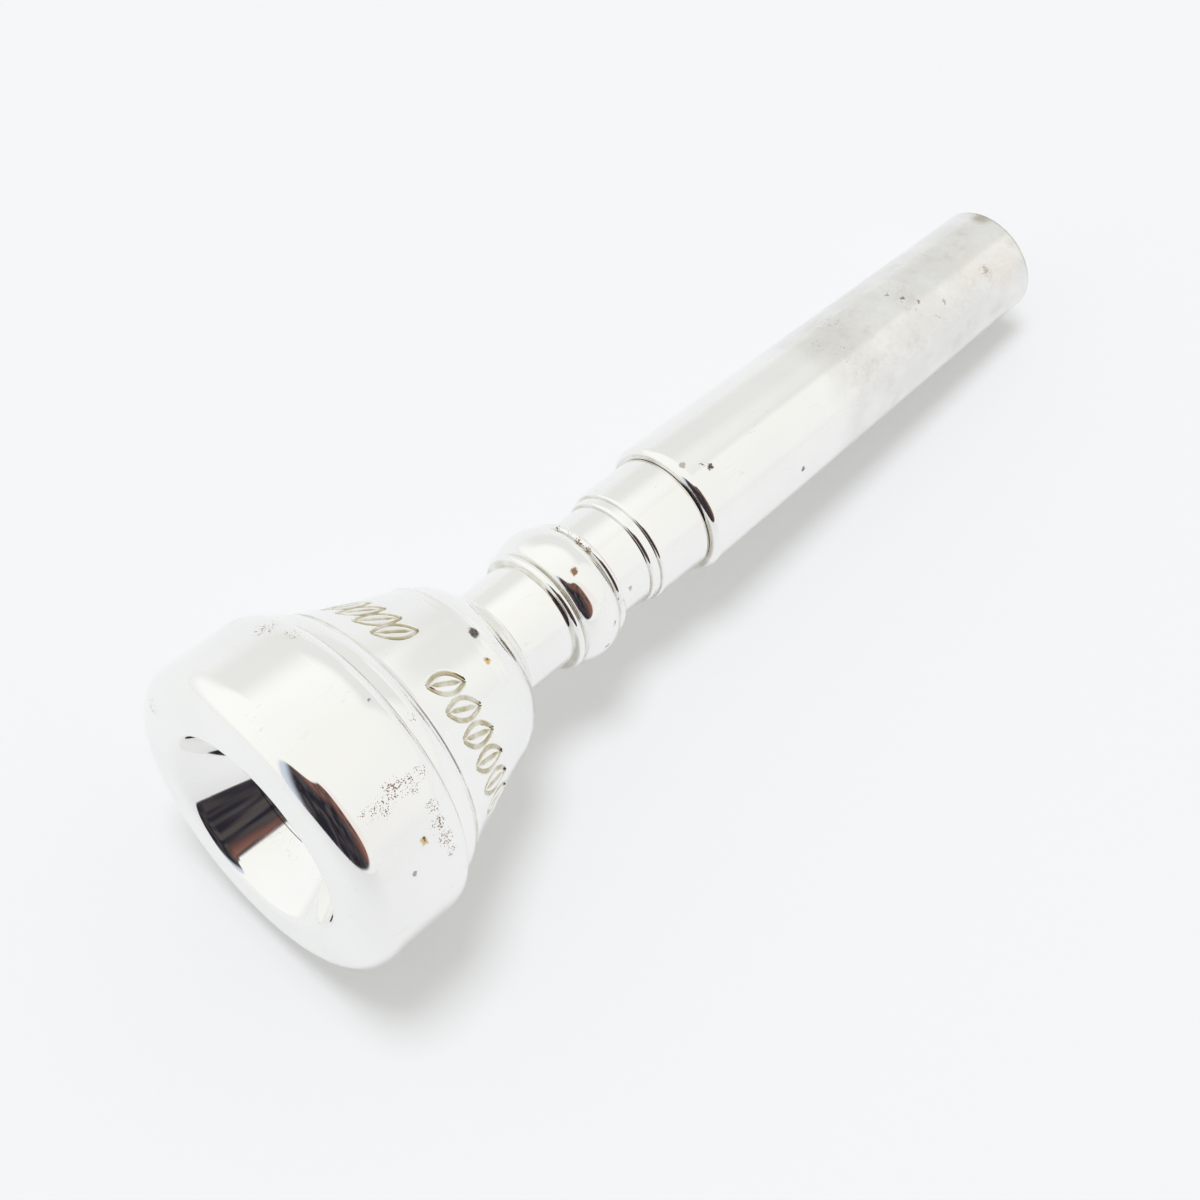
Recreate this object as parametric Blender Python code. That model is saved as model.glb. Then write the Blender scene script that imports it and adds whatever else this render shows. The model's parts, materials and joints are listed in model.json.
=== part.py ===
"""Silver-plated brass trumpet mouthpiece, as a rim, a cup, a backbore and a shank sleeve.

Every piece is turned: its outline is a loop of (station, radius) points in millimetres.
A station is the distance along the axis from the rim's playing face towards the shank's end.
The pieces are parented to one empty, which lays the mouthpiece down on the floor,
with the rim facing -Y and the shank pointing along +Y.
"""
import bpy
import bmesh
from math import atan2, cos, pi, radians, sin
from mathutils import Matrix, Vector

MM = 0.001
SIDES = 32                  # facets round the axis, one of them facing the floor
SEAT_GAP = 0.05             # mm between two pieces that meet face to face
SLIDE_GAP = 0.08            # mm of radial clearance where one piece goes inside another

# Whole mouthpiece
LENGTH = 87.5
THROAT_R = 1.83
THROAT_END = 17.0           # station where the backbore starts to open out
EXIT_R = 4.30               # bore radius at the shank's end
BORE_CURVE = 0.78           # below 1 opens quickly at first and then slowly

# Rim
RIM_R = 13.5
RIM_BACK = 9.8              # station of the rim's back face, where it meets the cup
RIM_BACK_R = 12.55
CROWN_INNER_R = 9.3
CROWN_OUTER_R = 10.7
ROLL_DEPTH = 1.1            # quarter-round that rolls from the crown into the bowl
ROLL_HEIGHT = 1.015
ROLL_END = 242              # degrees round it where it meets the bowl
EDGE_DEPTH = 2.4
SIDE_END = 7.4
SIDE_END_R = 13.4

# Cup: its threaded nose goes into the rim, its socket takes the backbore's stem
NOSE_FRONT = 4.65
NOSE_ROOT_R = 10.75
NOSE_CREST_R = 11.10
COLLAR_R = 12.25
COLLAR_END = 11.65
COLLAR_END_R = 11.45
BOWL_START = 0.58           # station where the roll meets the bowl
BOWL_R = 8.40               # bowl radius there
BOWL_DEPTH = 11.52          # from there to the point that the bowl's wall heads for
BOWL_POWER = 2 / 3          # below 1 bows the wall outward, 1 would make a plain cone
BOWL_END = 10.45
THROAT_START = 12.2
CUP_BACK = 23.1
CUP_BACK_R = 5.85
SOCKET_FLOOR = 16.3

# Backbore: stem, neck with its beads, and the spigot inside the sleeve
STEM_FRONT = 16.5
STEM_ROOT_R = 3.50
STEM_CREST_R = 3.85
PILOT_R = 3.95
FLANGE_R = 5.74             # the neck flares to this against the cup's back
NECK_START = 24.2
NECK_R = 4.60
BEAD_CENTRE = 31.6
BEAD_HALF_WIDTH = 1.85
BEAD_R = 5.88
BEAD_FOOT_R = 5.00
SIDE_BEAD_HALF_WIDTH = 0.42
FRONT_BEAD_CENTRE = 29.2
FRONT_BEAD_R = 5.36
BACK_BEAD_CENTRE = 34.0
BACK_BEAD_R = 5.20
WAIST_R = 4.52
FIRST_STEP = 37.7
SECOND_STEP = 38.6
STEP_LAND_R = 4.82
LAND_R = 5.08
LAND_END_R = 5.15
SPIGOT_R = 4.45
SPIGOT_END = 62.0

# Shank sleeve
SLEEVE_FRONT = 44.0
SLEEVE_FRONT_R = 5.88
SLEEVE_LIP = 0.75           # radius of the rounding on the sleeve's front edge
SLEEVE_END_R = 4.95
END_ROUNDING = 0.15
SOCKET_END = 62.3

THREAD_PITCH = 0.95
THREAD_STEPS = 4            # rings in one turn of thread

SILVER = (0.86, 0.85, 0.82, 1.0)


def ellipse_arc(station, radius, half_length, height, start, stop, steps):
    """Points on an ellipse; 0 degrees points towards the shank, 90 degrees outward."""
    points = []
    for i in range(steps + 1):
        angle = radians(start + (stop - start) * i / steps)
        points.append((station + half_length * cos(angle), radius + height * sin(angle)))
    return points


def curve(start, control, stop, steps):
    """Points on a smooth curve that leaves start towards control and arrives from it."""
    points = []
    for i in range(steps + 1):
        t = i / steps
        a, b, c = (1 - t) ** 2, 2 * t * (1 - t), t ** 2
        points.append((a * start[0] + b * control[0] + c * stop[0],
                       a * start[1] + b * control[1] + c * stop[1]))
    return points


def thread_rings(start, stop, radius):
    """Evenly spaced points along a length that will carry a thread."""
    count = round((stop - start) / THREAD_PITCH * THREAD_STEPS)
    return [(start + (stop - start) * i / count, radius) for i in range(count + 1)]


def bowl_radius(station):
    return BOWL_R * (1 - (station - BOWL_START) / BOWL_DEPTH) ** BOWL_POWER


def bore_radius(station):
    share = max(0.0, (station - THROAT_END) / (LENGTH - THROAT_END))
    return THROAT_R + (EXIT_R - THROAT_R) * share ** BORE_CURVE


def bore(start, stop, steps):
    """Points down the backbore's wall."""
    stations = [start + (stop - start) * i / steps for i in range(steps + 1)]
    return [(station, bore_radius(station)) for station in stations]


def rim_outline():
    seat = NOSE_FRONT - SEAT_GAP
    bore_r = NOSE_CREST_R + SLIDE_GAP
    outline = ellipse_arc(ROLL_DEPTH, CROWN_INNER_R, ROLL_DEPTH, ROLL_HEIGHT, ROLL_END, 180, 4)
    outline += ellipse_arc(EDGE_DEPTH, CROWN_OUTER_R, EDGE_DEPTH, RIM_R - CROWN_OUTER_R, 180, 90, 6)
    outline += curve((SIDE_END, SIDE_END_R), (RIM_BACK - 0.5, SIDE_END_R), (RIM_BACK, RIM_BACK_R), 4)
    outline += [(RIM_BACK, bore_r + 0.3), (RIM_BACK - 0.3, bore_r), (seat, bore_r)]
    outline += [(station, bowl_radius(station)) for station in (seat, 3.6, 2.6, 1.6)]
    return outline


def cup_outline():
    shoulder = RIM_BACK + SEAT_GAP
    outline = [(NOSE_FRONT, bowl_radius(NOSE_FRONT)), (NOSE_FRONT, NOSE_ROOT_R - 0.3)]
    outline += thread_rings(NOSE_FRONT + 0.3, RIM_BACK - 0.9, NOSE_ROOT_R)
    outline += [(shoulder, NOSE_ROOT_R), (shoulder, COLLAR_R - 0.1)]
    outline += curve((shoulder + 0.1, COLLAR_R), (COLLAR_END - 0.5, COLLAR_R - 0.2),
                     (COLLAR_END, COLLAR_END_R), 4)
    # a narrow groove parts the collar from the bowl
    outline += [(COLLAR_END + 0.15, COLLAR_END_R - 0.3), (COLLAR_END + 0.4, COLLAR_END_R - 0.3)]
    outline += curve((COLLAR_END + 0.5, COLLAR_END_R - 0.22), (15.0, 9.95), (18.6, 8.62), 3)
    outline += curve((19.6, 8.25), (22.0, 7.65), (CUP_BACK - 0.04, CUP_BACK_R + 0.06), 5)
    outline += [(CUP_BACK, CUP_BACK_R)]
    socket_r = PILOT_R + SLIDE_GAP
    outline += [(CUP_BACK, socket_r), (SOCKET_FLOOR, socket_r), (SOCKET_FLOOR, THROAT_R)]
    outline += curve((THROAT_START, THROAT_R), (10.95, THROAT_R), (BOWL_END, bowl_radius(BOWL_END)), 4)
    outline += [(station, bowl_radius(station)) for station in (9.6, 8.7, 7.7, 6.7, 5.7)]
    return outline


def side_bead(centre, top, foot):
    return ellipse_arc(centre, foot, SIDE_BEAD_HALF_WIDTH, top - foot, 180, 0, 4)


def rounded_step(station, low, high):
    """A small step up towards the shank, with a rounded front edge."""
    rounding = high - low
    return ellipse_arc(station + rounding, low, rounding, rounding, 180, 90, 3)


def backbore_outline():
    shoulder = CUP_BACK + SEAT_GAP
    sleeve_seat = SLEEVE_FRONT - SEAT_GAP
    outline = [(STEM_FRONT, STEM_ROOT_R - 0.3)]
    outline += thread_rings(STEM_FRONT + 0.3, STEM_FRONT + 4.3, STEM_ROOT_R)
    outline += [(STEM_FRONT + 5.3, STEM_ROOT_R), (STEM_FRONT + 5.6, PILOT_R), (shoulder, PILOT_R)]
    outline += [(shoulder, FLANGE_R)]
    outline += curve((shoulder + 0.03, FLANGE_R), (shoulder + 0.4, NECK_R + 0.45), (NECK_START, NECK_R), 4)
    outline += side_bead(FRONT_BEAD_CENTRE, FRONT_BEAD_R, NECK_R + 0.06)
    outline += ellipse_arc(BEAD_CENTRE, BEAD_FOOT_R, BEAD_HALF_WIDTH, BEAD_R - BEAD_FOOT_R, 180, 0, 8)
    outline += side_bead(BACK_BEAD_CENTRE, BACK_BEAD_R, WAIST_R)
    outline += rounded_step(FIRST_STEP, WAIST_R, STEP_LAND_R)
    outline += rounded_step(SECOND_STEP, STEP_LAND_R, LAND_R)
    outline += [(sleeve_seat, LAND_END_R), (sleeve_seat, SPIGOT_R)]
    outline += [(SPIGOT_END - 0.3, SPIGOT_R), (SPIGOT_END, SPIGOT_R - 0.3)]
    outline += bore(SPIGOT_END, STEM_FRONT, 7)
    return outline


def shank_sleeve_outline():
    socket_r = SPIGOT_R + SLIDE_GAP
    outline = ellipse_arc(SLEEVE_FRONT + SLEEVE_LIP, SLEEVE_FRONT_R - SLEEVE_LIP,
                          SLEEVE_LIP, SLEEVE_LIP, 180, 90, 5)
    outline += [(LENGTH - END_ROUNDING, SLEEVE_END_R), (LENGTH, SLEEVE_END_R - END_ROUNDING)]
    outline += bore(LENGTH, SOCKET_END, 4)
    outline += [(SOCKET_END, socket_r), (SLEEVE_FRONT, socket_r)]
    return outline


def cut_thread(bm, start, stop, root, crest):
    """Raises a helical ridge on the rings between two stations, fading out at both ends."""
    for vert in bm.verts:
        station = vert.co.z / MM
        radius = vert.co.xy.length / MM
        if abs(radius - root) > 0.001 or not start < station < stop:
            continue
        turn = atan2(vert.co.y, vert.co.x) / (2 * pi)
        ridge = 0.5 + 0.5 * cos(2 * pi * (station / THREAD_PITCH - turn))
        fade = min(1.0, (station - start) / THREAD_PITCH, (stop - station) / THREAD_PITCH)
        vert.co.xy *= 1 + (crest - root) / root * ridge * fade


def silver(name):
    material = bpy.data.materials.new(name)
    material.use_nodes = True
    shader = material.node_tree.nodes["Principled BSDF"]
    shader.inputs["Base Color"].default_value = SILVER
    shader.inputs["Metallic"].default_value = 1.0
    shader.inputs["Roughness"].default_value = 0.12
    material.diffuse_color = SILVER
    return material


def turned(name, outline, parent, thread=None):
    """Turns an outline about the local Z axis into one closed solid."""
    bm = bmesh.new()
    verts = [bm.verts.new((radius * MM, 0, station * MM)) for station, radius in outline]
    edges = [bm.edges.new((verts[i - 1], verts[i])) for i in range(len(verts))]
    bmesh.ops.spin(bm, geom=verts + edges, cent=(0, 0, 0), axis=(0, 0, 1),
                   angle=2 * pi, steps=SIDES, use_merge=True)
    if thread:
        cut_thread(bm, *thread)
    bmesh.ops.triangulate(bm, faces=bm.faces)
    bmesh.ops.recalc_face_normals(bm, faces=bm.faces)
    mesh = bpy.data.meshes.new(name)
    bm.to_mesh(mesh)
    bm.free()
    mesh.shade_smooth()
    mesh.set_sharp_from_angle(angle=radians(35))
    mesh.materials.append(silver(name))
    piece = bpy.data.objects.new(name, mesh)
    bpy.context.scene.collection.objects.link(piece)
    piece.parent = parent
    return piece


def lay_down(empty, pieces, contact_outline):
    """Tips the axis until the rim and the shank's end both touch the floor, then centres it."""
    tilt = max(atan2(radius - SLEEVE_END_R, LENGTH - END_ROUNDING - station)
               for station, radius in contact_outline if station < RIM_BACK)
    facet_down = Matrix.Rotation(-pi / 2 - pi / SIDES, 4, "Z")
    empty.matrix_world = Matrix.Rotation(-pi / 2 - tilt, 4, "X") @ facet_down
    bpy.context.view_layer.update()
    corners = [piece.matrix_world @ vert.co for piece in pieces for vert in piece.data.vertices]
    low = [min(corner[i] for corner in corners) for i in range(3)]
    high = [max(corner[i] for corner in corners) for i in range(3)]
    shift = Vector(((low[0] + high[0]) / 2, (low[1] + high[1]) / 2, low[2]))
    empty.matrix_world = Matrix.Translation(-shift) @ empty.matrix_world


def main():
    for old in list(bpy.data.objects):
        bpy.data.objects.remove(old)
    axis = bpy.data.objects.new("axis", None)
    bpy.context.scene.collection.objects.link(axis)
    nose_thread = (NOSE_FRONT + 0.3, RIM_BACK - 0.9, NOSE_ROOT_R, NOSE_CREST_R)
    stem_thread = (STEM_FRONT + 0.3, STEM_FRONT + 4.3, STEM_ROOT_R, STEM_CREST_R)
    pieces = [
        turned("rim", rim_outline(), axis),
        turned("cup", cup_outline(), axis, nose_thread),
        turned("backbore", backbore_outline(), axis, stem_thread),
        turned("shank_sleeve", shank_sleeve_outline(), axis),
    ]
    lay_down(axis, pieces, rim_outline())


main()
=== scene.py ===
"""Looks of the silver-plated trumpet mouthpiece: finely turned pieces, plated metal and a studio.

Every piece is turned round the same axis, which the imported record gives. Outlines are loops of
(station, radius) points in millimetres; a station is the distance along the axis from the rim's
playing face. Angles round the axis are in degrees: -90 points up, 0 to the right, seen from the rim.
"""
import json
from math import cos, degrees, hypot, pi, radians, sin

import bpy
from mathutils import Matrix, Vector


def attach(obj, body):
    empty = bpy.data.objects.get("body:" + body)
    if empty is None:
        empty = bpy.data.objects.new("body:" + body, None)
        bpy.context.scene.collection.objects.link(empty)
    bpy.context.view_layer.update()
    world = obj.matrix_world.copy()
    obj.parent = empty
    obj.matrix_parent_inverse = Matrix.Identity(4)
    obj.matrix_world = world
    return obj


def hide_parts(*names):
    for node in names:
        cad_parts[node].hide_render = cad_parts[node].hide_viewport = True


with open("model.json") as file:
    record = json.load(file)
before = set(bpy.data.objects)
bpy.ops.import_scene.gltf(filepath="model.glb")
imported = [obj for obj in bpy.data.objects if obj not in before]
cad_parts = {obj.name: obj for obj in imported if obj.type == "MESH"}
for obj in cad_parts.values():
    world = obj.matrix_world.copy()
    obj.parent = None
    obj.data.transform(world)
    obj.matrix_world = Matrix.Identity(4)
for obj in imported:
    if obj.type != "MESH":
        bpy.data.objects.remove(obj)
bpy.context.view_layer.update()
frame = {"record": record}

MM = 0.001
MOUNTS = {mount["name"]: mount for mount in frame["record"]["mounts"]}
AXIS = Vector(MOUNTS["shank_end"]["axis"]).normalized()
ON_AXIS = Vector(MOUNTS["shank_taper"]["pos_m"])
FRONT = ON_AXIS + AXIS * AXIS.dot(Vector(MOUNTS["rim_face"]["pos_m"]) - ON_AXIS)
LENGTH = AXIS.dot(Vector(MOUNTS["shank_end"]["pos_m"]) - FRONT) / MM

SEGMENTS = 256
SEAT_GAP = 0.05             # mm between two pieces that meet face to face
SLIDE_GAP = 0.08            # mm of radial clearance where one piece goes inside another
THREAD_PITCH = 0.95
THREAD_STEPS = 12           # rings in one turn of thread
SUPPORT = 0.025             # mm from an outline's corner to the ring that keeps its shading crisp
LONGEST_STEP = 1.0          # mm between rings on a plain stretch

# ---------------------------------------------------------------- outlines


def ellipse_arc(station, radius, half_length, height, start, stop, steps):
    """Points on an ellipse; 0 degrees points towards the shank, 90 degrees outward."""
    points = []
    for i in range(steps + 1):
        angle = radians(start + (stop - start) * i / steps)
        points.append((station + half_length * cos(angle), radius + height * sin(angle)))
    return points


def curve(start, control, stop, steps):
    """Points on a smooth curve that leaves start towards control and arrives from it."""
    points = []
    for i in range(steps + 1):
        t = i / steps
        a, b, c = (1 - t) ** 2, 2 * t * (1 - t), t ** 2
        points.append((a * start[0] + b * control[0] + c * stop[0],
                       a * start[1] + b * control[1] + c * stop[1]))
    return points


def supported(outline):
    """Adds points near the ends of each long stretch, and splits it into short steps."""
    points = []
    for i, (station, radius) in enumerate(outline):
        after = outline[(i + 1) % len(outline)]
        length = hypot(after[0] - station, after[1] - radius)
        if length < 0.001:
            continue
        shares = [0.0]
        if length > 6 * SUPPORT:
            count = max(1, round(length / LONGEST_STEP))
            shares += [SUPPORT / length]
            shares += [k / count for k in range(1, count)]
            shares += [1 - SUPPORT / length]
        points += [(station + (after[0] - station) * share, radius + (after[1] - radius) * share)
                   for share in shares]
    return points


def thread(start, stop, base):
    """Rings along a threaded length."""
    count = round((stop - start) / THREAD_PITCH * THREAD_STEPS)
    return [(start + (stop - start) * i / count, base) for i in range(count + 1)]


# ---------------------------------------------------------------- shape of the bore and bowl

THROAT_R = 1.83
THROAT_END = 17.0
EXIT_R = 4.30
BORE_CURVE = 0.78
BOWL_START = 0.58
BOWL_R = 8.40
BOWL_DEPTH = 11.52
BOWL_POWER = 2 / 3
BOWL_END = 10.45


def bowl(start, stop, steps):
    """Points down the wall of the bowl."""
    stations = [start + (stop - start) * i / steps for i in range(steps + 1)]
    return [(station, BOWL_R * (1 - (station - BOWL_START) / BOWL_DEPTH) ** BOWL_POWER)
            for station in stations]


def bore(start, stop, steps):
    """Points along the backbore's wall."""
    points = []
    for i in range(steps + 1):
        station = start + (stop - start) * i / steps
        share = max(0.0, (station - THROAT_END) / (LENGTH - THROAT_END))
        points.append((station, THROAT_R + (EXIT_R - THROAT_R) * share ** BORE_CURVE))
    return points


# ---------------------------------------------------------------- rim

RIM_R = 13.5
RIM_BACK = 9.8
RIM_BACK_R = 12.55
CROWN_INNER_R = 9.3
CROWN_OUTER_R = 10.7
ROLL_DEPTH = 1.1
ROLL_HEIGHT = 1.015
ROLL_END = 242
EDGE_DEPTH = 2.4
SIDE_END = 7.4
SIDE_END_R = 13.4
NOSE_FRONT = 4.65
NOSE_ROOT_R = 10.75
NOSE_CREST_R = 11.10
NOSE_THREAD = (NOSE_FRONT + 0.4, RIM_BACK - 0.9)


def rim_outline():
    seat = NOSE_FRONT - SEAT_GAP
    bore_r = NOSE_CREST_R + SLIDE_GAP
    outline = ellipse_arc(ROLL_DEPTH, CROWN_INNER_R, ROLL_DEPTH, ROLL_HEIGHT, ROLL_END, 180, 18)
    outline += ellipse_arc(EDGE_DEPTH, CROWN_OUTER_R, EDGE_DEPTH, RIM_R - CROWN_OUTER_R, 180, 90, 28)
    outline += curve((SIDE_END, SIDE_END_R), (RIM_BACK - 0.5, SIDE_END_R), (RIM_BACK - 0.08, RIM_BACK_R), 20)
    outline += [(RIM_BACK, RIM_BACK_R - 0.08), (RIM_BACK, bore_r + 0.3), (RIM_BACK - 0.3, bore_r)]
    outline += thread(NOSE_THREAD[1], NOSE_THREAD[0], bore_r)
    outline += [(seat, bore_r)]
    outline += bowl(seat, BOWL_START + 0.2, 24)
    return outline


# ---------------------------------------------------------------- cup

COLLAR_R = 12.25
COLLAR_END = 11.65
COLLAR_END_R = 11.45
THROAT_START = 12.2
CUP_BACK = 23.1
CUP_BACK_R = 5.85
SOCKET_FLOOR = 16.3
PILOT_R = 3.95
STEM_FRONT = 16.5
STEM_ROOT_R = 3.50
STEM_CREST_R = 3.85
STEM_THREAD = (STEM_FRONT + 0.4, STEM_FRONT + 4.3)
ENGRAVED = (12.9, 17.4)     # stations between which the bowl's outside carries the ornament


def cup_outline():
    shoulder = RIM_BACK + SEAT_GAP
    socket_r = PILOT_R + SLIDE_GAP
    outline = [(NOSE_FRONT, NOSE_ROOT_R - 0.3), (NOSE_FRONT + 0.3, NOSE_ROOT_R)]
    outline += thread(NOSE_THREAD[0], NOSE_THREAD[1], NOSE_ROOT_R)
    outline += [(shoulder, NOSE_ROOT_R), (shoulder, COLLAR_R - 0.1)]
    outline += curve((shoulder + 0.1, COLLAR_R), (COLLAR_END - 0.5, COLLAR_R - 0.2),
                     (COLLAR_END, COLLAR_END_R), 14)
    # a narrow groove parts the collar from the bowl
    outline += ellipse_arc(COLLAR_END + 0.24, COLLAR_END_R - 0.12, 0.06, 0.07, 180, 360, 8)
    outline += curve((COLLAR_END + 0.55, COLLAR_END_R - 0.22), (15.0, 9.95), (18.6, 8.62), 90)
    outline += curve((19.6, 8.25), (22.0, 7.65), (CUP_BACK - 0.04, CUP_BACK_R + 0.06), 32)
    outline += [(CUP_BACK, CUP_BACK_R), (CUP_BACK, socket_r)]
    outline += thread(STEM_THREAD[1], STEM_THREAD[0], socket_r)
    outline += [(SOCKET_FLOOR, socket_r), (SOCKET_FLOOR, THROAT_R)]
    outline += curve((THROAT_START, THROAT_R), (10.95, THROAT_R), bowl(BOWL_END, BOWL_END, 1)[0], 14)
    outline += bowl(BOWL_END - 0.15, NOSE_FRONT, 36)
    return outline


# ---------------------------------------------------------------- backbore

FLANGE_R = 5.74
NECK_START = 24.2
NECK_R = 4.60
BEAD_CENTRE = 31.6
BEAD_HALF_WIDTH = 1.85
BEAD_R = 5.88
BEAD_FOOT_R = 5.00
SIDE_BEAD_HALF_WIDTH = 0.42
FRONT_BEAD_CENTRE = 29.2
FRONT_BEAD_R = 5.36
BACK_BEAD_CENTRE = 34.0
BACK_BEAD_R = 5.20
WAIST_R = 4.52
FIRST_STEP = 37.7
SECOND_STEP = 38.6
STEP_LAND_R = 4.82
LAND_R = 5.08
LAND_END_R = 5.15
SPIGOT_R = 4.45
SPIGOT_END = 62.0
SLEEVE_FRONT = 44.0


def side_bead(centre, top, foot):
    return ellipse_arc(centre, foot, SIDE_BEAD_HALF_WIDTH, top - foot, 180, 0, 16)


def rounded_step(station, low, high):
    rounding = high - low
    return ellipse_arc(station + rounding, low, rounding, rounding, 180, 90, 8)


def backbore_outline():
    shoulder = CUP_BACK + SEAT_GAP
    sleeve_seat = SLEEVE_FRONT - SEAT_GAP
    outline = [(STEM_FRONT, STEM_ROOT_R - 0.3), (STEM_FRONT + 0.3, STEM_ROOT_R)]
    outline += thread(STEM_THREAD[0], STEM_THREAD[1], STEM_ROOT_R)
    outline += [(STEM_FRONT + 5.3, STEM_ROOT_R), (STEM_FRONT + 5.6, PILOT_R), (shoulder, PILOT_R)]
    outline += [(shoulder, FLANGE_R)]
    outline += curve((shoulder + 0.03, FLANGE_R), (shoulder + 0.4, NECK_R + 0.45), (NECK_START, NECK_R), 14)
    outline += side_bead(FRONT_BEAD_CENTRE, FRONT_BEAD_R, NECK_R + 0.06)
    outline += ellipse_arc(BEAD_CENTRE, BEAD_FOOT_R, BEAD_HALF_WIDTH, BEAD_R - BEAD_FOOT_R, 180, 0, 36)
    outline += side_bead(BACK_BEAD_CENTRE, BACK_BEAD_R, WAIST_R)
    outline += rounded_step(FIRST_STEP, WAIST_R, STEP_LAND_R)
    outline += rounded_step(SECOND_STEP, STEP_LAND_R, LAND_R)
    outline += [(sleeve_seat, LAND_END_R), (sleeve_seat, SPIGOT_R)]
    outline += [(SPIGOT_END - 0.3, SPIGOT_R), (SPIGOT_END, SPIGOT_R - 0.3)]
    outline += bore(SPIGOT_END, STEM_FRONT, 40)
    return outline


# ---------------------------------------------------------------- shank sleeve

SLEEVE_FRONT_R = 5.88
SLEEVE_LIP = 0.75
SLEEVE_END_R = 4.95
SOCKET_END = 62.3


def shank_sleeve_outline():
    socket_r = SPIGOT_R + SLIDE_GAP
    outline = ellipse_arc(SLEEVE_FRONT + SLEEVE_LIP, SLEEVE_FRONT_R - SLEEVE_LIP,
                          SLEEVE_LIP, SLEEVE_LIP, 180, 90, 16)
    outline += ellipse_arc(LENGTH - 0.15, SLEEVE_END_R - 0.15, 0.15, 0.15, 90, 0, 6)
    outline += bore(LENGTH, SOCKET_END, 26)
    outline += [(SOCKET_END, socket_r), (SLEEVE_FRONT, socket_r)]
    return outline


# ---------------------------------------------------------------- turning


def screw_cut(station, angle, span, depth):
    """Height of a helical thread at a point, fading out at both ends of its span."""
    start, stop = span
    if not start <= station <= stop:
        return 0.0
    ridge = 0.5 + 0.5 * cos(2 * pi * (station / THREAD_PITCH - angle / (2 * pi)))
    fade = min(1.0, (station - start) / THREAD_PITCH, (stop - station) / THREAD_PITCH)
    return depth * ridge * fade


PLACE = Matrix.Translation(FRONT) @ Matrix((
    Vector((1, 0, 0)), AXIS.cross(Vector((1, 0, 0))), AXIS)).transposed().to_4x4()


def turned(name, outline, body, material, relief=None, angles=None):
    """Turns an outline into a closed solid; relief(station, radius, angle) moves its skin in or out."""
    angles = angles or [2 * pi * k / SEGMENTS for k in range(SEGMENTS)]
    rings = supported(outline)
    verts, marks = [], []
    for station, radius in rings:
        for angle in angles:
            lift, mark = relief(station, radius, angle) if relief else (0.0, 0.0)
            r = (radius + lift) * MM
            verts.append((r * cos(angle), r * sin(angle), station * MM))
            marks.append(mark)
    count = len(angles)
    faces = []
    for i in range(len(rings)):
        a, b = i * count, ((i + 1) % len(rings)) * count
        for k in range(count):
            n = (k + 1) % count
            faces.append((a + k, a + n, b + n, b + k))
    mesh = bpy.data.meshes.new(name)
    mesh.from_pydata(verts, [], faces)
    groove = mesh.attributes.new("groove", "FLOAT", "POINT")
    groove.data.foreach_set("value", marks)
    mesh.update()
    mesh.shade_smooth()
    mesh.set_sharp_from_angle(angle=radians(38))
    mesh.materials.append(material)
    piece = bpy.data.objects.new(name + "_turned", mesh)
    bpy.context.scene.collection.objects.link(piece)
    piece.matrix_world = PLACE
    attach(piece, body)
    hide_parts(name)


# ---------------------------------------------------------------- engraved ornament

LEAF_LENGTH = 1.75          # mm from a leaf's middle to its tip
LEAF_WIDTH = 0.82
CUT_HALF_WIDTH = 0.25
CUT_DEPTH = 0.16
LEAF_SLANT = radians(24)
LEAF_STATION = 15.2
LEAVES = [radians(a) for a in range(-64, 90, 13)] + [radians(a) for a in range(-129, -90, 11)]


def leaf_cut(station, radius, angle):
    """Depth of the nearest engraved leaf's outline and vein at a point, from 0 to 1."""
    if not ENGRAVED[0] < station < ENGRAVED[1] or radius < 8:
        return 0.0
    angle = (angle + pi) % (2 * pi) - pi
    deepest = 0.0
    for leaf in LEAVES:
        round_way = (angle - leaf) * radius
        if abs(round_way) > 2:
            continue
        along = (station - LEAF_STATION) * cos(LEAF_SLANT) + round_way * sin(LEAF_SLANT)
        across = abs(round_way * cos(LEAF_SLANT) - (station - LEAF_STATION) * sin(LEAF_SLANT))
        if abs(along) > LEAF_LENGTH:
            continue
        edge = LEAF_WIDTH * (1 - (along / LEAF_LENGTH) ** 2)
        nearest = min(abs(across - edge), across + 0.3 * max(0.0, abs(along) - 0.8))
        deepest = max(deepest, 1 - (nearest / CUT_HALF_WIDTH) ** 2)
    return max(0.0, deepest)


def cup_relief(station, radius, angle):
    if radius > 8:
        if station < RIM_BACK:
            return screw_cut(station, angle, NOSE_THREAD, NOSE_CREST_R - NOSE_ROOT_R), 0.0
        cut = leaf_cut(station, radius, angle)
        return -CUT_DEPTH * cut, cut
    if radius > PILOT_R and station > SOCKET_FLOOR:
        return screw_cut(station, angle, STEM_THREAD, 0.3), 0.0
    return 0.0, 0.0


def rim_relief(station, radius, angle):
    inside = abs(radius - NOSE_CREST_R - SLIDE_GAP) < 0.001
    return (screw_cut(station, angle, NOSE_THREAD, 0.3) if inside else 0.0), 0.0


def backbore_relief(station, radius, angle):
    inside = abs(radius - STEM_ROOT_R) < 0.001
    return (screw_cut(station, angle, STEM_THREAD, STEM_CREST_R - STEM_ROOT_R) if inside else 0.0), 0.0


def cup_angles():
    """Fine steps over the engraved leaves and coarser ones elsewhere."""
    fine = [radians(a / 2) for a in range(-280, 190)]
    coarse = [radians(a * 1.875 + 95) for a in range(0, 67)]
    return fine + [a for a in coarse if degrees(a) < 219]


# ---------------------------------------------------------------- plated metal


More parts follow.
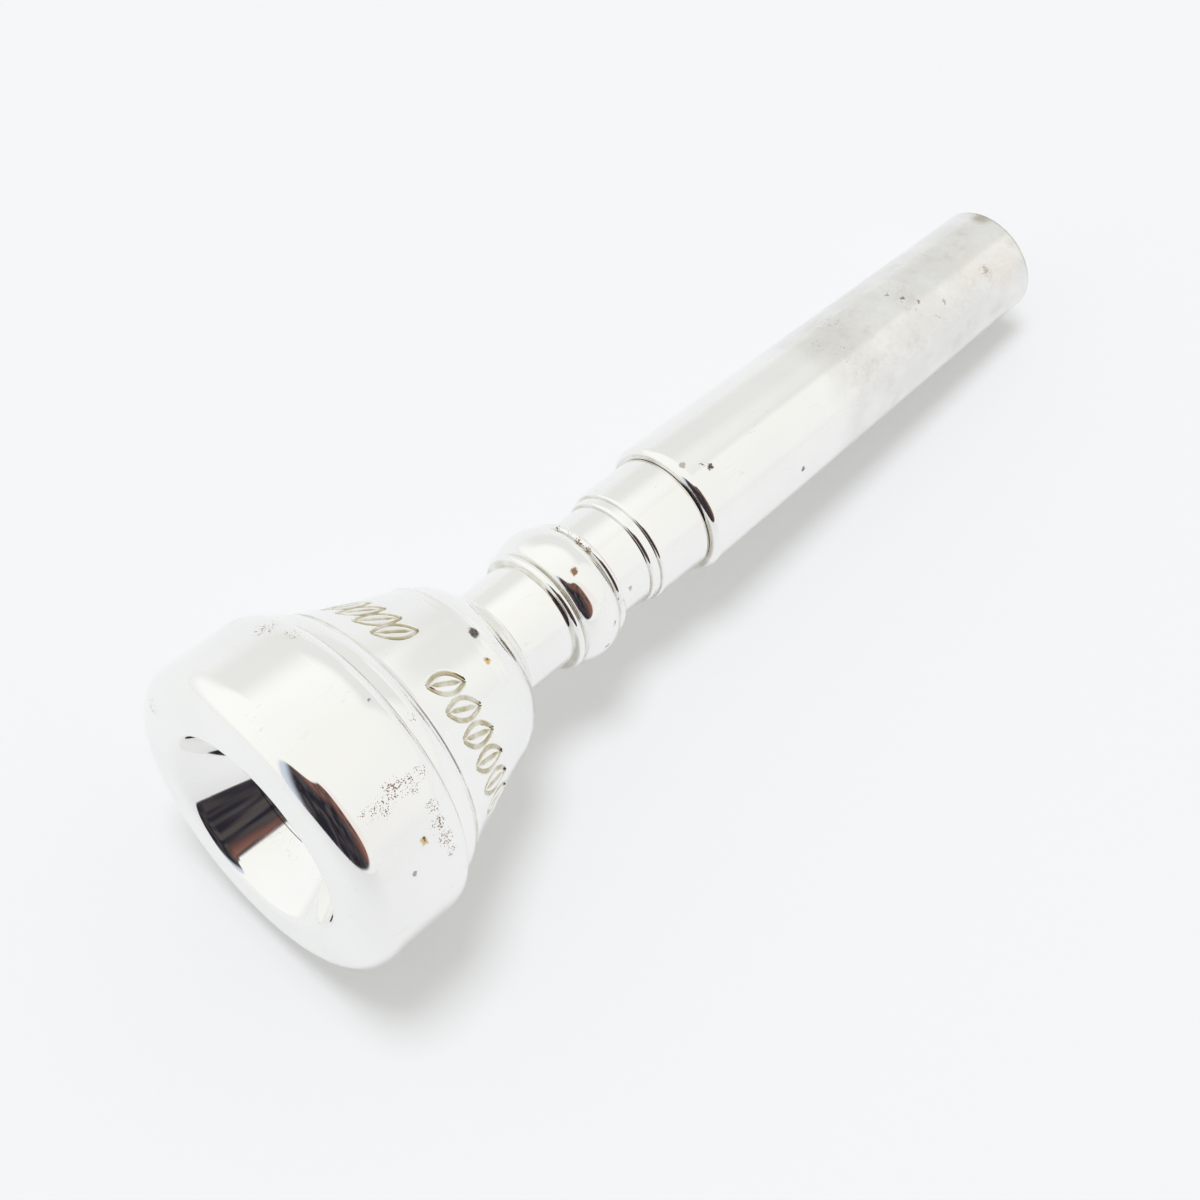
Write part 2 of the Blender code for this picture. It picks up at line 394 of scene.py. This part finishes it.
class Nodes:
    """A short way to add shader nodes and link them."""

    def __init__(self, tree):
        self.tree = tree

    def add(self, kind, inputs=(), **settings):
        node = self.tree.nodes.new(kind)
        for key, value in settings.items():
            setattr(node, key, value)
        for key, value in dict(inputs).items():
            socket = node.inputs[key]
            if isinstance(value, bpy.types.NodeSocket):
                self.tree.links.new(value, socket)
            else:
                socket.default_value = value
        return node

    def math(self, operation, a, b=0.0):
        return self.add("ShaderNodeMath", {0: a, 1: b}, operation=operation).outputs[0]

    def remap(self, value, low, high, to_low=0.0, to_high=1.0):
        inputs = {"Value": value, "From Min": low, "From Max": high, "To Min": to_low, "To Max": to_high}
        return self.add("ShaderNodeMapRange", inputs, interpolation_type="SMOOTHSTEP").outputs[0]

    def noise(self, vector, scale, detail=3.0, roughness=0.55):
        inputs = {"Vector": vector, "Scale": scale, "Detail": detail, "Roughness": roughness}
        return self.add("ShaderNodeTexNoise", inputs).outputs["Fac"]

    def stretch(self, vector, scale):
        return self.add("ShaderNodeMapping", {"Vector": vector, "Scale": scale}).outputs[0]

    def mix(self, factor, a, b):
        node = self.add("ShaderNodeMix", {0: factor, 6: a, 7: b}, data_type="RGBA")
        return node.outputs[2]

    def near(self, vector, spot, reach, core=0.25):
        """1 at a spot on the surface, falling to 0 at its reach in mm."""
        centre = on_surface(*spot)
        far = self.add("ShaderNodeVectorMath", {0: vector, 1: centre}, operation="DISTANCE").outputs["Value"]
        return self.remap(far, reach * MM, reach * MM * core)

    def shaken(self, vector, scale, distance):
        """A vector moved about at random, which gives a spot a ragged edge."""
        noise = self.add("ShaderNodeTexNoise", {"Vector": vector, "Scale": scale, "Detail": 3.0})
        middle = self.add("ShaderNodeVectorMath", {0: noise.outputs["Color"], 1: (0.5, 0.5, 0.5)},
                          operation="SUBTRACT").outputs[0]
        push = self.add("ShaderNodeVectorMath", {0: middle, "Scale": distance}, operation="SCALE").outputs[0]
        return self.add("ShaderNodeVectorMath", {0: vector, 1: push}, operation="ADD").outputs[0]


def on_surface(station, radius, angle):
    """A point of the turned surface in the piece's own coordinates."""
    a = radians(angle)
    return (radius * MM * cos(a), radius * MM * sin(a), station * MM)


SILVER = (0.950, 0.948, 0.927, 1)
SILVER_CLOUD = (0.922, 0.922, 0.903, 1)
TARNISH = (0.36, 0.25, 0.20, 1)
DULL = (0.76, 0.745, 0.72, 1)
CUT_TONE = (0.50, 0.44, 0.27, 1)
GRIME = (0.42, 0.36, 0.25, 1)
DARK_SPOT = (0.09, 0.07, 0.055, 1)
RUST_SPOT = (0.30, 0.15, 0.07, 1)
GOLD_SPOT = (0.72, 0.50, 0.22, 1)
GREY_STAIN = (0.52, 0.48, 0.42, 1)
PINK_STAIN = (0.90, 0.74, 0.64, 1)


class Plate:
    """A plated surface being built up: its colour, roughness and height, with marks laid over them."""

    def __init__(self, name):
        self.material = bpy.data.materials.new(name)
        self.material.use_nodes = True
        self.n = Nodes(self.material.node_tree)
        n = self.n
        self.place = n.add("ShaderNodeTexCoord").outputs["Object"]
        self.station = n.add("ShaderNodeSeparateXYZ", {0: self.place}).outputs[2]
        self.ragged = n.shaken(self.place, 2500.0, 0.0007)
        self.colour = n.mix(n.remap(n.noise(self.place, 110.0), 0.35, 0.7), SILVER, SILVER_CLOUD)
        self.rough = n.remap(n.noise(self.place, 260.0), 0.3, 0.75, 0.035, 0.075)
        turning = n.noise(n.stretch(self.place, (60, 60, 9000)), 1.0, 2.0)
        wiping = n.noise(n.stretch(self.place, (1400, 1400, 70)), 1.0, 4.0, 0.7)
        self.height = n.math("ADD", n.math("MULTIPLY", turning, 0.09), n.math("MULTIPLY", wiping, 0.05))

    def lay(self, mask, colour, rough=0.0, depth=0.0):
        """Blends a mark over the surface where its mask is 1."""
        n = self.n
        self.colour = n.mix(mask, self.colour, colour)
        if rough:
            self.rough = n.math("ADD", self.rough, n.math("MULTIPLY", mask, rough))
        if depth:
            self.height = n.math("SUBTRACT", self.height, n.math("MULTIPLY", mask, depth))

    def scratches(self):
        """A few long hairlines, slightly darker than the plate."""
        n = self.n
        bent = n.shaken(self.place, 90.0, 0.004)
        lines = n.noise(n.stretch(bent, (1700, 1700, 45)), 1.0, 1.0)
        rare = n.remap(n.noise(self.place, 240.0, 2.0), 0.52, 0.66)
        off = n.math("ABSOLUTE", n.math("SUBTRACT", lines, 0.5))
        mask = n.math("MULTIPLY", n.remap(off, 0.006, 0.0), rare)
        self.lay(n.math("MULTIPLY", mask, 0.35), (0.62, 0.50, 0.44, 1), 0.1, 0.3)

    def speckle(self, crowds):
        """Tiny tarnish specks, crowded round the given spots."""
        n = self.n
        crowd = n.math("MULTIPLY", n.remap(n.noise(self.place, 330.0, 2.0), 0.60, 0.80), 0.35)
        for spot, reach, strength in crowds:
            crowd = n.math("MAXIMUM", crowd, n.math("MULTIPLY", n.near(self.place, spot, reach), strength))
        uneven = n.shaken(self.place, 6000.0, 0.00012)
        cells = n.add("ShaderNodeTexVoronoi", {"Vector": uneven, "Scale": 6800.0})
        size = n.math("MULTIPLY", n.noise(self.place, 2600.0, 1.0), n.math("MULTIPLY", crowd, 0.95))
        dots = n.remap(n.math("SUBTRACT", cells.outputs["Distance"], size), 0.0, -0.14)
        self.lay(n.math("MULTIPLY", dots, n.remap(crowd, 0.05, 0.3)), TARNISH, 0.4, 0.8)

    def blots(self, spots):
        """Single ragged spots: each is ((station, radius, angle), reach in mm, colour, strength)."""
        n = self.n
        for spot, reach, colour, strength in spots:
            core = 0.55 if reach < 1 else 0.1
            mask = n.math("MULTIPLY", n.near(self.ragged, spot, reach, core), strength)
            self.lay(mask, colour, 0.3 * strength, 0.6 * strength)

    def rings(self, stations):
        """Brownish grime in the turned grooves: each is (station, half-width in mm, strength)."""
        n = self.n
        patchy = n.remap(n.noise(self.place, 420.0, 3.0), 0.35, 0.6, 0.35, 1.0)
        for station, half_width, strength in stations:
            off = n.math("ABSOLUTE", n.math("SUBTRACT", self.station, station * MM))
            line = n.remap(off, half_width * MM, half_width * MM * 0.3)
            self.lay(n.math("MULTIPLY", n.math("MULTIPLY", line, patchy), strength), GRIME, 0.1)

    def wear(self, start, stop):
        """The stretch that sits in the instrument: dull, mottled and grainy."""
        n = self.n
        wobble = n.math("MULTIPLY", n.math("SUBTRACT", n.noise(self.place, 130.0, 4.0), 0.5), 0.009)
        edge = n.remap(n.math("ADD", self.station, wobble), start * MM, stop * MM)
        mottle = n.remap(n.noise(self.place, 230.0, 6.0, 0.72), 0.34, 0.62, 0.35, 1.0)
        haze = n.math("MULTIPLY", edge, mottle)
        self.lay(n.math("MULTIPLY", haze, 0.62), DULL, 0.26)
        grain = n.noise(n.stretch(self.place, (2600, 2600, 700)), 1.0, 3.0)
        self.height = n.math("ADD", self.height, n.math("MULTIPLY", n.math("MULTIPLY", grain, haze), 0.45))
        cloud = n.remap(n.noise(self.place, 420.0, 5.0, 0.7), 0.50, 0.72)
        self.lay(n.math("MULTIPLY", n.math("MULTIPLY", cloud, haze), 0.30), GREY_STAIN, 0.1)

    def engraving(self):
        """Yellowish metal showing in the engraved cuts."""
        n = self.n
        cut = n.add("ShaderNodeAttribute", attribute_name="groove").outputs["Fac"]
        patchy = n.remap(n.noise(self.place, 900.0, 2.0), 0.3, 0.65, 0.45, 1.0)
        self.lay(n.math("MULTIPLY", n.remap(cut, 0.0, 0.8), patchy), CUT_TONE, 0.14)

    def finish(self):
        n = self.n
        shader = self.material.node_tree.nodes["Principled BSDF"]
        shader.inputs["Metallic"].default_value = 1.0
        bump = n.add("ShaderNodeBump", {"Strength": 0.25, "Distance": 0.00002, "Height": self.height})
        links = self.material.node_tree.links
        links.new(self.colour, shader.inputs["Base Color"])
        links.new(self.rough, shader.inputs["Roughness"])
        links.new(bump.outputs[0], shader.inputs["Normal"])
        return self.material


def rim_plate():
    plate = Plate("rim_plate")
    plate.scratches()
    plate.speckle([((3.4, 13.5, -48), 1.2, 0.75), ((4.6, 13.5, -47), 1.4, 0.9), ((5.9, 13.5, -49), 1.5, 1.0),
                   ((7.2, 13.4, -47), 1.4, 0.95), ((8.4, 13.1, -48), 1.1, 0.8), ((7.9, 13.3, -37), 1.0, 0.8),
                   ((7.7, 13.3, -31), 1.2, 1.0), ((7.8, 13.3, -25), 1.2, 1.0), ((7.9, 13.3, -19), 1.0, 0.9),
                   ((8.0, 13.3, -140), 1.3, 0.7), ((7.9, 13.3, -119), 1.8, 0.8),
                   ((8.4, 13.2, -109), 1.3, 0.7), ((0.4, 11.6, -152), 1.7, 0.65),
                   ((0.7, 12.0, 170), 1.5, 0.5)])
    plate.blots([((6.2, 13.45, -29.5), 0.42, GOLD_SPOT, 0.9), ((6.3, 13.45, -30.2), 0.24, DARK_SPOT, 0.85),
                 ((4.6, 13.5, -22), 0.24, DARK_SPOT, 0.6), ((8.6, 13.1, -74), 0.24, DARK_SPOT, 0.6)])
    plate.rings([(RIM_BACK - 0.03, 0.09, 0.3)])
    return plate.finish()


def cup_plate():
    plate = Plate("cup_plate")
    plate.scratches()
    plate.speckle([((10.6, 12.1, -62), 1.0, 0.7), ((14.6, 10.1, -133), 1.6, 0.6),
                   ((20.3, 7.9, -76), 0.8, 0.8)])
    plate.blots([((20.3, 8.0, -76), 0.50, DARK_SPOT, 0.9), ((19.6, 8.2, -60), 0.38, GOLD_SPOT, 0.95),
                 ((19.75, 8.2, -60.5), 0.20, DARK_SPOT, 0.6)])
    plate.rings([(RIM_BACK + 0.1, 0.10, 0.25), (COLLAR_END + 0.24, 0.14, 0.3)])
    plate.engraving()
    return plate.finish()


def backbore_plate():
    plate = Plate("backbore_plate")
    plate.scratches()
    plate.speckle([((33.6, 5.1, -118), 0.9, 0.9), ((33.6, 5.1, -104), 0.8, 0.8), ((33.7, 5.1, -90), 0.9, 0.9),
                   ((33.7, 5.1, -79), 0.7, 0.9), ((34.2, 5.1, -20), 0.8, 0.7)])
    plate.blots([((31.1, 5.87, -71), 0.40, RUST_SPOT, 0.95), ((33.6, 5.15, -79), 0.32, GREY_STAIN, 0.8),
                 ((33.4, 5.1, -90), 0.20, DARK_SPOT, 0.9), ((33.3, 5.1, -120), 0.20, DARK_SPOT, 0.9),
                 ((35.5, 4.52, -21), 0.30, GREY_STAIN, 0.9), ((33.5, 5.2, -23), 0.22, DARK_SPOT, 0.9),
                 ((32.2, 5.8, -14), 0.20, DARK_SPOT, 0.7), ((31.4, 5.88, 6), 0.24, DARK_SPOT, 0.8)])
    plate.rings([(CUP_BACK + 0.1, 0.10, 0.3), (28.8, 0.12, 0.4), (29.66, 0.12, 0.4), (33.5, 0.12, 0.45),
                 (34.45, 0.12, 0.45), (FIRST_STEP, 0.09, 0.4), (SECOND_STEP, 0.09, 0.4),
                 (SLEEVE_FRONT - 0.12, 0.2, 0.5)])
    return plate.finish()


def shank_plate():
    plate = Plate("shank_plate")
    plate.scratches()
    plate.wear(59, 64)
    plate.speckle([((73.3, 5.4, -97), 1.5, 0.5), ((73.2, 5.4, -83), 1.3, 0.5), ((73.1, 5.4, -70), 1.4, 0.5),
                   ((75.0, 5.3, -50), 0.9, 0.6), ((63.6, 5.6, -95), 2.2, 0.55), ((64.6, 5.6, -75), 2.4, 0.5),
                   ((66.5, 5.6, -112), 2.0, 0.6), ((82.5, 5.1, -56), 1.2, 0.7),
                   ((46.6, 5.85, -70), 0.7, 0.8)])
    plate.blots([((44.9, 5.85, -84), 0.34, GREY_STAIN, 0.9), ((46.7, 5.85, -70), 0.30, DARK_SPOT, 0.9),
                 ((46.2, 5.85, -75), 0.15, DARK_SPOT, 0.8), ((55.1, 5.7, -14), 0.27, DARK_SPOT, 0.8),
                 ((73.3, 5.4, -84), 0.30, DARK_SPOT, 0.75), ((74.3, 5.35, -72), 0.24, RUST_SPOT, 0.7),
                 ((76.6, 5.3, -57), 0.30, RUST_SPOT, 0.5), ((72.6, 5.4, -97), 0.24, DARK_SPOT, 0.5),
                 ((82.6, 5.1, -56), 0.45, GREY_STAIN, 0.6), ((81.5, 5.15, -70), 2.6, PINK_STAIN, 0.2),
                 ((84.5, 5.05, -45), 3.0, PINK_STAIN, 0.22), ((87.0, 4.95, -104), 1.3, GREY_STAIN, 0.9),
                 ((64.4, 5.65, -95), 4.0, GREY_STAIN, 0.22)])
    plate.rings([(SLEEVE_FRONT + 0.04, 0.10, 0.5), (LENGTH - 0.1, 0.22, 0.5)])
    return plate.finish()


# ---------------------------------------------------------------- pieces

turned("rim", rim_outline(), "rim_body", rim_plate(), rim_relief)
turned("cup", cup_outline(), "cup_body", cup_plate(), cup_relief, cup_angles())
turned("backbore", backbore_outline(), "backbore_body", backbore_plate(), backbore_relief)
turned("shank_sleeve", shank_sleeve_outline(), "shank_body", shank_plate())

# ---------------------------------------------------------------- studio

FLOOR_SIZE = 4.0


def plain(name, colour, roughness):
    material = bpy.data.materials.new(name)
    material.use_nodes = True
    shader = material.node_tree.nodes["Principled BSDF"]
    shader.inputs["Base Color"].default_value = colour
    shader.inputs["Roughness"].default_value = roughness
    return material


def floor():
    bpy.ops.mesh.primitive_plane_add(size=FLOOR_SIZE)
    plane = bpy.context.object
    plane.name = "table_top"
    plane.data.materials.append(plain("table_white", (0.224, 0.226, 0.229, 1), 0.6))


def lamp(name, strength, colour, spread=None):
    """A light from above for the table only: the metal mirrors the tent, and not the lamps."""
    data = bpy.data.lights.new(name, "SUN")
    data.energy = strength
    data.color = colour
    data.use_shadow = spread is not None
    data.angle = radians(spread or 0)
    holder = bpy.data.objects.new(name, data)
    holder.rotation_euler = Vector((-0.1, 0, 1)).to_track_quat("Z", "Y").to_euler()
    holder.visible_glossy = False
    bpy.context.scene.collection.objects.link(holder)


GREY_TOP = 50               # degrees; how high the tent's greyer back wall reaches
OPENING_AZIMUTH = 44        # degrees; the tent's opening, where the dark room shows
OPENING_HALF_WIDTH = 52
OPENING_ELEVATION = 30
OPENING_HALF_HEIGHT = 31
OPENING_LEAN = 0.14         # how much its middle rises with azimuth


def surroundings():
    """A white light tent with one dark opening, which bright metal mirrors; the camera sees it plain."""
    world = bpy.data.worlds.new("light_tent")
    bpy.context.scene.world = world
    world.use_nodes = True
    n = Nodes(world.node_tree)
    back = world.node_tree.nodes["Background"]
    direction = n.add("ShaderNodeTexCoord").outputs["Generated"]
    split = n.add("ShaderNodeSeparateXYZ", {0: direction})
    east, north, up = split.outputs
    azimuth = n.math("DEGREES", n.math("ARCTAN2", east, n.math("MULTIPLY", north, -1.0)))
    elevation = n.math("DEGREES", n.math("ARCSINE", up))

    # a greyer wall behind on the left, white again close to the table
    turn = n.math("FLOORED_MODULO", azimuth, 360.0)
    top = n.math("SUBTRACT", GREY_TOP, n.math("MULTIPLY", n.math("SUBTRACT", turn, 190.0), 0.24))
    grey = n.remap(n.math("SUBTRACT", elevation, top), 6.0, -10.0)
    behind = n.math("MULTIPLY", n.remap(turn, 165.0, 178.0), n.remap(turn, 285.0, 245.0))
    grey = n.math("MULTIPLY", grey, behind)
    low = n.math("MULTIPLY", n.remap(elevation, 18.0, 12.0), n.remap(turn, 208.0, 196.0))
    grey = n.math("MULTIPLY", grey, n.math("SUBTRACT", 1.0, low))
    tent = n.mix(n.remap(elevation, 20.0, 62.0), (0.945, 0.945, 0.93, 1), (0.985, 0.98, 0.955, 1))
    tent = n.mix(n.remap(east, 0.35, -0.75), tent, (1.015, 1.02, 1.01, 1))
    tent = n.mix(grey, tent, (0.835, 0.84, 0.825, 1))
    tent = n.mix(n.remap(elevation, 14.0, 0.0), tent, (0.90, 0.905, 0.90, 1))

    # the opening is a rounded box of directions, with a faint warm glow on the wall beside it
    middle = n.math("ADD", n.math("MULTIPLY", n.math("SUBTRACT", azimuth, OPENING_AZIMUTH), OPENING_LEAN),
                    OPENING_ELEVATION)
    across = n.math("DIVIDE", n.math("SUBTRACT", azimuth, OPENING_AZIMUTH), OPENING_HALF_WIDTH)
    upward = n.math("DIVIDE", n.math("SUBTRACT", elevation, middle), OPENING_HALF_HEIGHT)
    reach = n.math("ADD", n.math("POWER", n.math("ABSOLUTE", across), 4.0),
                   n.math("POWER", n.math("ABSOLUTE", upward), 4.0))
    glow = n.math("MULTIPLY", n.remap(azimuth, 70.0, 90.0), n.remap(azimuth, 118.0, 110.0))
    glow = n.math("MULTIPLY", glow, n.remap(elevation, 5.0, 22.0))
    glow = n.math("MULTIPLY", glow, n.remap(elevation, 70.0, 50.0))
    tent = n.mix(glow, tent, (0.93, 0.87, 0.85, 1))
    # the dark room seen through it
    drapes = n.noise(n.stretch(direction, (5, 5, 1.5)), 1.6, 2.0)
    warm = n.math("MAXIMUM", n.remap(elevation, 44.0, 58.0), n.remap(azimuth, 64.0, 88.0))
    room = n.mix(n.remap(drapes, 0.40, 0.66), (0.022, 0.021, 0.030, 1), (0.085, 0.075, 0.075, 1))
    room = n.mix(n.math("MULTIPLY", warm, n.remap(drapes, 0.62, 0.44)), room, (0.27, 0.125, 0.095, 1))
    room = n.mix(n.remap(azimuth, 5.0, -5.0), room, (0.62, 0.69, 0.80, 1))
    tent = n.mix(n.remap(reach, 1.15, 0.85), tent, room)

    seen = n.add("ShaderNodeLightPath").outputs["Is Camera Ray"]
    colour = n.mix(seen, tent, (0.90, 0.905, 0.92, 1))
    world.node_tree.links.new(colour, back.inputs["Color"])


CAMERA_AIM = Vector((1.53, -8.39, 8.0)) * MM
CAMERA_AZIMUTH = radians(43.99)
CAMERA_ELEVATION = radians(57.87)
CAMERA_DISTANCE = 170.4 * MM
LENS = 63.4


def towards(azimuth, elevation):
    return Vector((sin(azimuth) * cos(elevation), -cos(azimuth) * cos(elevation), sin(elevation)))


def camera():
    data = bpy.data.cameras.new("camera")
    data.lens = LENS
    data.sensor_width = 36
    data.clip_start = 0.005
    eye = bpy.data.objects.new("camera", data)
    view = towards(CAMERA_AZIMUTH, CAMERA_ELEVATION)
    eye.location = CAMERA_AIM + view * CAMERA_DISTANCE
    eye.rotation_euler = view.to_track_quat("Z", "Y").to_euler()
    bpy.context.scene.collection.objects.link(eye)
    bpy.context.scene.camera = eye


floor()
surroundings()
lamp("soft_box", 4.0, (0.97, 0.99, 1.08), spread=21)
lamp("fill", 6.5, (1.0, 1.0, 0.95))
camera()
bpy.context.scene.view_settings.view_transform = "Standard"
